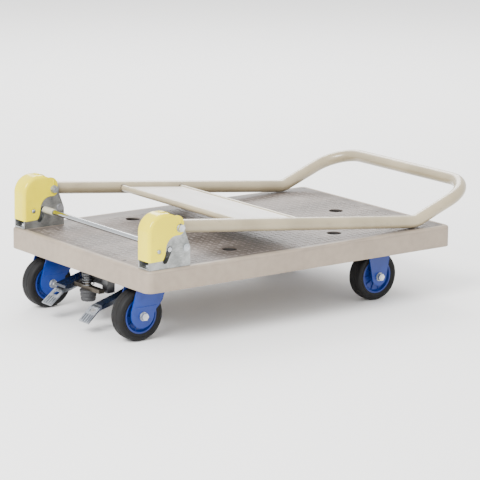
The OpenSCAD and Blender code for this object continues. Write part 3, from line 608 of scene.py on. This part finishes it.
screw_shank = 0.0024
screw_length = 0.006
screw_lip = 0.0002
screw_profile = ([(0.0, -screw_length), (screw_shank, -screw_length), (screw_shank, -screw_lip)]
                 + dome(0.0042, 0.0022, screw_lip)[1:])
key_half = Vector((0.0022, 0.0012, 0.0005))
key_lift = 0.0025
screws = []
for side in (-1, 1):
    for way in (-1, 1):
        seat = Vector((screw_x, side * leg_y + way * (cap_half - dish_depth), screw_z))
        head = turned(screw_profile, seat, (0, way, 0), 32)
        tip = seat + Vector((0, way * key_lift, 0))
        for turn in (20, 110):
            key = block(tip - key_half, tip + key_half)
            key.data.transform(turn_about(tip, math.radians(turn), "Y"))
            cut(head, key)
        screws.append(head)
settle(joined(screws), "cap_cross_screws", "chassis", "fastener", bright_zinc, "cap_screws")

# ------------------------------------------------------------ lock rod
# A chromed bar runs through the slots of both brackets and is stepped on to
# free the handle. A nylon collar and a wound spring sit at each end.

chrome, place = new_paint("rod_chrome")
swirl = place.noise(700.0, 2.0, (1.0, 0.05, 1.0))
sheen = place.noise(30.0).blend(linear("96999c"), linear("b4b7ba"))
close_paint(chrome, place, sheen, 0.05 + swirl * 0.08, 1.0, height=swirl, depth=0.00001)
nylon, place = new_paint("collar_nylon")
close_paint(nylon, place, place.noise(60.0, 4.0).blend(linear("98968a"), linear("b4b2a2")), 0.42,
            height=place.noise(800.0), depth=0.00004)
wire_paint = plated("spring_wire", "6e7073", "484a4d", 0.30)
dressed("lock_rod", "lock_bar", chrome, 0.0010)


def coiled(radius, wire, start, end, turns, steps=22):
    """A spring wound between two points."""
    start, end = Vector(start), Vector(end)
    length = (end - start).length
    clear_selection()
    bpy.ops.mesh.primitive_circle_add(vertices=10, radius=wire / 2, location=(radius, 0.0, 0.0),
                                      rotation=(math.pi / 2, 0.0, 0.0), fill_type="NGON")
    piece = bpy.context.object
    bpy.ops.object.transform_apply(location=True, rotation=True, scale=True)
    modify(piece, "SCREW", angle=2 * math.pi * turns, screw_offset=length, steps=int(steps * turns),
           render_steps=int(steps * turns), axis="Z", use_merge_vertices=False)
    turn = (end - start).to_track_quat("Z", "Y").to_matrix().to_4x4()
    piece.data.transform(Matrix.Translation(start) @ turn)
    return piece


def rod(radius, start, end, steps=48):
    """A round bar between two points."""
    start, end = Vector(start), Vector(end)
    clear_selection()
    bpy.ops.mesh.primitive_cylinder_add(vertices=steps, radius=radius, depth=(end - start).length,
                                        location=(start + end) / 2,
                                        rotation=(end - start).to_track_quat("Z", "Y").to_euler())
    bpy.ops.object.transform_apply(location=True, rotation=True, scale=True)
    return bpy.context.object


# Each spring is stretched between the bar and a pin across the bracket, and
# stops short of the middle of both.
pin_from_pivot = Vector((-0.0607, 0.0, -0.0055))
pin_radius = 0.00245
pin_room = 0.004
bar_room = 0.0065
spring_radius = 0.0030
spring_wire = 0.0012
spring_turns = 17
for side, way in (("L", 1), ("R", -1)):
    dressed("rod_collar_" + side, "collar_" + side, nylon, 0.0006)
    across = Vector((0.0, way * leg_y, 0.0))
    anchor = Vector((pivot.x, 0.0, pivot.z)) + pin_from_pivot + across
    rod_point = rod_rest + across
    pull = (rod_point - anchor).normalized()
    ends = (anchor + pull * pin_room, rod_point - pull * bar_room)
    spring = coiled(spring_radius, spring_wire, *ends, spring_turns)
    settle(spring, "bar_spring_" + side, ("chassis", "lock_rod_body", *ends), "spring_steel", wire_paint,
           "rod_spring_" + side)
    pin_half = Vector((0.0, bracket_half, 0.0))
    pin = soften(rod(pin_radius, anchor - pin_half, anchor + pin_half, 24), 0.0004)
    settle(pin, "spring_pin_" + side, "chassis", "fastener", bright_zinc)

# ------------------------------------------------------------ handle
# One length of 25.4 mm steel tube, bent four times and powder coated. Two
# cross tubes and a pressed panel are welded between its legs.

tube_radius = 0.0127
tube_wall = 0.0015
leg_length = 0.591
leg_slope = math.radians(6.04)
bend_angle = math.radians(26.7)
bend_radius = 0.050
rise_length = 0.168
grip_corner = 0.072
tail_length = 0.036
tube_steps = 40
bend_cut = bend_radius * math.tan(bend_angle / 2)

handle_paint, place = new_paint("handle_powder_coat")
cloud = place.noise(12.0, 4.0)
base = cloud.step(0.3, 0.7).blend(linear("8f8369"), linear("a19478"))
chip = place.noise(55.0, 6.0, (0.5, 1.0, 1.0)).step(0.64, 0.74)
base = (chip * 0.35).blend(base, linear("6f6654"))
close_paint(handle_paint, place, base, 0.26 + cloud * 0.12 + chip * 0.2,
            height=place.noise(650.0, 2.0), depth=0.00005, fixed={"Coat Weight": 0.4, "Coat Roughness": 0.12})

down = Vector((math.cos(leg_slope), 0.0, -math.sin(leg_slope)))
above = Vector((math.sin(leg_slope), 0.0, math.cos(leg_slope)))
rise = Matrix.Rotation(-bend_angle, 3, "Y") @ down
hollow_side = Matrix.Rotation(-bend_angle, 3, "Y") @ above
side_way = Vector((0.0, -1.0, 0.0))
straight_leg = tail_length + leg_length - bend_cut
straight_rise = rise_length - grip_corner - bend_cut
stages = [(down, straight_leg, above, bend_radius, bend_angle, 10),
          (rise, straight_rise, side_way, grip_corner, math.pi / 2, 20),
          (side_way, 2 * (leg_y - grip_corner), -rise, grip_corner, math.pi / 2, 20),
          (-rise, straight_rise, hollow_side, bend_radius, bend_angle, 10),
          (-down, straight_leg, None, 0.0, 0.0, 0)]
spot = pivot + Vector((0.0, leg_y, 0.0)) - down * tail_length
clear_selection()
bpy.ops.mesh.primitive_circle_add(vertices=tube_steps, radius=tube_radius, location=spot,
                                  rotation=down.to_track_quat("Z", "Y").to_euler(), fill_type="NOTHING")
bpy.ops.object.transform_apply(location=True, rotation=True, scale=True)
handle = bpy.context.object
bpy.ops.object.mode_set(mode="EDIT")
bpy.ops.mesh.select_all(action="SELECT")
for heading, length, towards, radius, angle, steps in stages:
    bpy.ops.mesh.extrude_region_move(TRANSFORM_OT_translate={"value": heading * length})
    spot = spot + heading * length
    if towards is not None:
        middle = spot + towards * radius
        hinge = heading.cross(towards)
        bpy.ops.mesh.spin(steps=steps, angle=-angle, center=middle, axis=hinge)
        spot = middle + Matrix.Rotation(angle, 3, hinge) @ (spot - middle)
bpy.ops.mesh.select_all(action="SELECT")
bpy.ops.mesh.remove_doubles(threshold=0.000001)
bpy.ops.mesh.normals_make_consistent(inside=False)
bpy.ops.object.mode_set(mode="OBJECT")
modify(handle, "SOLIDIFY", thickness=tube_wall, offset=-1.0)
settle(handle, "handle_bent_tube", "handle", "handle_paint", handle_paint, "handle_tube")

panel_paint, place = new_paint("panel_coat")
cloud = place.noise(10.0, 4.0, (1.0, 0.3, 1.0))
base = cloud.step(0.3, 0.7).blend(linear("e2dcd6"), linear("efebe6"))
base = (place.noise(70.0, 6.0).step(0.62, 0.76) * 0.3).blend(base, linear("9b938a"))
close_paint(panel_paint, place, base, 0.16 + cloud * 0.14, height=place.noise(500.0, 2.0), depth=0.00004,
            fixed={"Coat Weight": 0.5, "Coat Roughness": 0.1})
dressed("cross_tube_low", "cross_tube_first", handle_paint, 0.0)
dressed("cross_tube_high", "cross_tube_second", handle_paint, 0.0)
dressed("handle_panel", "handle_sheet", panel_paint, 0.0004)
black_plastic, place = new_paint("plug_plastic")
close_paint(black_plastic, place, place.noise(90.0).blend(linear("141414"), linear("1e1e1e")), 0.5,
            height=place.noise(900.0), depth=0.00005)
dressed("tail_plugs", "leg_plugs", black_plastic, 0.0006)
for side in ("L", "R"):
    dressed("pivot_bush_" + side, "bush_" + side, zinc, 0.0004)

# Beads of weld run round both ends of each cross tube. They are painted darker
# than the coat: painted shade where the cross tubes meet the legs.
bead_shade_paint, place = new_paint("weld_bead")
bead_mottle = place.noise(240.0, 4.0)
close_paint(bead_shade_paint, place, bead_mottle.step(0.35, 0.65).blend(linear("4e4538"), linear("7d725d")), 0.42,
            height=bead_mottle, depth=0.0001)
bead_radius = 0.0017
bead_sink = 0.0004
ripple_depth = 0.035
ripple_count = 14
for name, node in (("first", "cross_tube_low"), ("second", "cross_tube_high")):
    low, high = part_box(node)
    middle = (low + high) / 2
    cross_radius = (high.x - low.x) / 2
    beads = []
    for way in (-1, 1):
        clear_selection()
        bpy.ops.mesh.primitive_torus_add(major_radius=cross_radius + bead_sink, minor_radius=bead_radius,
                                         major_segments=72, minor_segments=8,
                                         rotation=(math.pi / 2, 0.0, 0.0))
        bpy.ops.object.transform_apply(location=True, rotation=True, scale=True)
        bead = bpy.context.object
        for vertex in bead.data.vertices:
            turn = math.atan2(vertex.co.z, vertex.co.x)
            vertex.co *= 1.0 + ripple_depth * math.sin(ripple_count * turn)
            lift = vertex.co.dot(above)
            vertex.co.y += way * (leg_y - math.sqrt(tube_radius ** 2 - lift ** 2) - bead_sink)
            vertex.co += Vector((middle.x, 0.0, middle.z))
        beads.append(bead)
    settle(joined(beads), "weld_beads_" + name, "handle", "handle_paint", bead_shade_paint)

# ------------------------------------------------------------ casters
# Two swivel casters at the bracket end and two fixed ones at the other: blue
# painted pressings, each with a solid rubber tyre on a blue nylon hub.


def sprayed(name, light, dark, rough, chip_to, coat=0.25):
    """Sprayed enamel: slightly cloudy, orange-peeled and chipped in places."""
    material, place = new_paint(name)
    cloud = place.noise(18.0, 4.0)
    chip = place.noise(120.0, 6.0).step(0.70, 0.75)
    grime = place.noise(40.0, 5.0).step(0.56, 0.84)
    tone = cloud.step(0.3, 0.7).blend(linear(dark), linear(light))
    tone = (grime * 0.22).blend(tone, linear(chip_to))
    close_paint(material, place, (chip * 0.5).blend(tone, linear(chip_to)),
                rough + cloud * 0.10 + grime * 0.16, height=place.noise(420.0, 2.0), depth=0.00006,
                fixed={"Coat Weight": coat, "Coat Roughness": 0.2, "Specular IOR Level": 0.4})
    return material


fork_paint = sprayed("fork_blue", "093084", "062670", 0.30, "0e1932", 0.0)
hub_paint = sprayed("hub_blue", "0a2c7c", "062264", 0.38, "0e1630", 0.0)
rubber, place = new_paint("tyre_rubber")
wheel_dust = place.noise(60.0, 6.0).step(0.40, 0.75)
base = place.noise(20.0, 3.0).blend(linear("0d0d0e"), linear("141415"))
base = (wheel_dust * 0.35).blend(base, linear("231f1c"))
close_paint(rubber, place, base, 0.60 + wheel_dust * 0.2, height=place.noise(700.0, 4.0), depth=0.00012,
            fixed={"Specular IOR Level": 0.22})

# Half profiles of (radius, distance from the middle plane). The tyre has a
# groove in each side, a crowned tread and a fine groove either side of its middle.
half_tyre = [(0.0350, 0.0144), (0.0372, 0.0156), (0.0385, 0.0163), (0.0398, 0.0165), (0.0403, 0.0159),
             (0.0412, 0.0159), (0.0417, 0.0165), (0.0440, 0.0165), (0.0462, 0.0159), (0.0478, 0.0146),
             (0.0488, 0.0128), (0.0493, 0.0108), (0.0496, 0.0082), (0.0498, 0.0052), (0.0494, 0.0049),
             (0.0494, 0.0042), (0.0499, 0.0039), (0.0500, 0.0)]
tyre_profile = half_tyre + [(radius, -along) for radius, along in reversed(half_tyre[:-1])]
half_hub = [(0.0042, 0.0190), (0.0104, 0.0190), (0.0112, 0.0183), (0.0118, 0.0120), (0.0126, 0.0092),
            (0.0145, 0.0084), (0.0262, 0.0080), (0.0282, 0.0086), (0.0296, 0.0100), (0.0308, 0.0130),
            (0.0318, 0.0146), (0.0330, 0.0149), (0.0350, 0.0145)]
hub_profile = half_hub + [(radius, -along) for radius, along in reversed(half_hub)]
hub_ribs = 10
rib_start = Vector((0.0112, -0.0102, -0.0010))
rib_end = Vector((0.0304, 0.0102, 0.0010))

first = Vector(joints["fixed_wheel_spin_L"]["pos_m"])
tyre = turned(tyre_profile, first, (0, 1, 0), 96)
hub = turned(hub_profile, first, (0, 1, 0), 64)
for turn in range(hub_ribs):
    rib = soften(block(first + rib_start, first + rib_end), 0.0006)
    rib.data.transform(turn_about(first, 2 * math.pi * turn / hub_ribs, "Y"))
    hub = joined([hub, rib])
for kind in ("swivel", "fixed"):
    for side in ("L", "R"):
        body = f"{kind}_wheel_{side}"
        shift = Matrix.Translation(Vector(joints[f"{kind}_wheel_spin_{side}"]["pos_m"]) - first)
        settle(twin(tyre, shift), f"{kind}_tread_{side}", body, "tyre", rubber, f"{kind}_tyre_{side}")
        settle(twin(hub, shift), f"{kind}_centre_{side}", body, "hub_plastic", hub_paint,
               f"{kind}_hub_{side}")
        dressed(f"{kind}_fork_{side}", f"{kind}_pressing_{side}", fork_paint, 0.0007)
        dressed(f"{kind}_axle_{side}", f"{kind}_axle_bolt_{side}", bright_zinc, 0.0005)
bpy.data.objects.remove(tyre)
bpy.data.objects.remove(hub)

# A pressed line stiffens both cheeks of each swivel fork, level above the axle.
cheek_face = 0.0220
bead_low = Vector((-0.0495, -0.0006, 0.0670))
bead_high = Vector((0.0015, 0.0006, 0.0688))
for side in ("L", "R"):
    stem = Vector(joints["swivel_turn_" + side]["pos_m"])
    faces = [Vector((stem.x, stem.y + face, 0.0)) for face in (-cheek_face, cheek_face)]
    beads = [soften(block(face + bead_low, face + bead_high), 0.0005, 3) for face in faces]
    settle(joined(beads), "cheek_beads_" + side, "swivel_" + side, "fork_paint", fork_paint)

ball_radius = 0.0026
ball_circle = 0.0210
ball_count = 18
for side in ("L", "R"):
    dressed("swivel_plate_" + side, "top_plate_" + side, fork_paint, 0.0006)
    dressed("kingpin_" + side, "king_rivet_" + side, zinc, 0.0006)
    low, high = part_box("ball_race_" + side)
    middle = (low + high) / 2
    balls = []
    for turn in range(ball_count):
        angle = 2 * math.pi * turn / ball_count
        clear_selection()
        spot = middle + Vector((math.cos(angle), math.sin(angle), 0)) * ball_circle
        bpy.ops.mesh.primitive_uv_sphere_add(segments=16, ring_count=8, radius=ball_radius, location=spot)
        bpy.ops.object.transform_apply(location=True, rotation=True, scale=True)
        balls.append(bpy.context.object)
    settle(joined(balls), "race_balls_" + side, "swivel_" + side, "spring_steel", chrome, "ball_race_" + side)
dressed("caster_bolts", "caster_nuts", bright_zinc, 0.0004)

# ------------------------------------------------------------ floor stopper
# A dark painted frame under the swivel end carries two pedals on one shaft.
# Between them a rubber foot on a plunger is pushed on to the floor.

dark_paint = sprayed("stopper_enamel", "2a2a2e", "1a1a1e", 0.26, "3a332c", 0.5)
lever_paint = sprayed("lever_enamel", "131c2c", "0b111d", 0.22, "25272c", 0.3)
pad_metal = plated("pedal_zinc", "a9adb3", "6f7379", 0.22, (1.0, 0.25, 1.0), 0.8)
dressed("stopper_frame", "stopper_bracket", dark_paint, 0.0006)
dressed("stopper_shaft", "pedal_shaft", bright_zinc, 0.0005)
dressed("lock_lever", "lock_arm", lever_paint, 0.0006)
dressed("lock_pad", "lock_tread", pad_metal, 0.0005)

# The near arm and its tread are one pressing: the tread is left in bare zinc.
arm_paint, place = new_paint("arm_and_tread")
tread_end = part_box("release_arm")[0].x + 0.030
bare = 1.0 - place.axis("X").step(tread_end, tread_end + 0.006)
cloud = place.noise(30.0, 4.0)
fine = place.noise(700.0, 3.0, (1.0, 0.25, 1.0))
coat = cloud.step(0.3, 0.7).blend(linear("0b111d"), linear("131c2c"))
metal = (cloud * 0.6 + fine * 0.4).step(0.3, 0.7).blend(linear("7b7f86"), linear("b4b8be"))
close_paint(arm_paint, place, bare.blend(coat, metal), 0.18 + cloud * 0.10 + bare * 0.04, bare * 0.92,
            height=fine, depth=0.00003, fixed={"Coat Weight": 0.3, "Coat Roughness": 0.15})
dressed("release_arm", "release_tread", arm_paint, 0.0006)
dressed("plunger_guide", "guide_tube", dark_paint, 0.0006)
bar_steel = plated("plunger_steel", "5c554c", "38332d", 0.34)
dressed("plunger", "plunger_bar", bar_steel, 0.0008)
dressed("stopper_bolts", "stopper_nuts", bright_zinc, 0.0004)

foot_rubber, place = new_paint("foot_rubber")
close_paint(foot_rubber, place, place.noise(50.0, 5.0).blend(linear("242426"), linear("343436")), 0.62,
            height=place.noise(800.0, 4.0), depth=0.00012)

# The foot's profile is (radius, height above its sole): a dished sole, three
# tapered rings with two grooves between them, and a socket for the plunger.
foot_low, foot_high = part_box("rubber_foot")
foot_middle = (foot_low + foot_high) / 2
foot_base = Vector((foot_middle.x, foot_middle.y, foot_low.z))
foot_profile = [(0.0, 0.0008), (0.0090, 0.0008), (0.0100, 0.0), (0.0128, 0.0), (0.0142, 0.0014),
                (0.0148, 0.0060), (0.0141, 0.0072), (0.0141, 0.0084), (0.0153, 0.0094), (0.0160, 0.0140),
                (0.0152, 0.0150), (0.0152, 0.0162), (0.0166, 0.0172), (0.0172, 0.0210), (0.0166, 0.0220),
                (0.0061, 0.0220), (0.0061, 0.0200), (0.0, 0.0200)]
foot = turned(foot_profile, foot_base, (0, 0, 1), 56)
settle(foot, "floor_foot", "foot", "foot_rubber", foot_rubber, "rubber_foot")

coil_radius = 0.0110
coil_wire = 0.0018
coil_turns = 9
coil_steps = 30
spring_low, spring_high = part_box("plunger_spring")
spring_middle = (spring_low + spring_high) / 2
ends = (Vector((spring_middle.x, spring_middle.y, spring_high.z - coil_wire / 2)),
        Vector((spring_middle.x, spring_middle.y, spring_low.z + coil_wire / 2)))
coil = coiled(coil_radius, coil_wire, *ends, coil_turns, coil_steps)
settle(coil, "plunger_coil", ("chassis", "foot", *ends), "spring_steel", wire_paint, "plunger_spring")

# ------------------------------------------------------------ sizes and finish
# The box round the finished cart is found, as the box round the machined parts was at the start.

low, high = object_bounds()
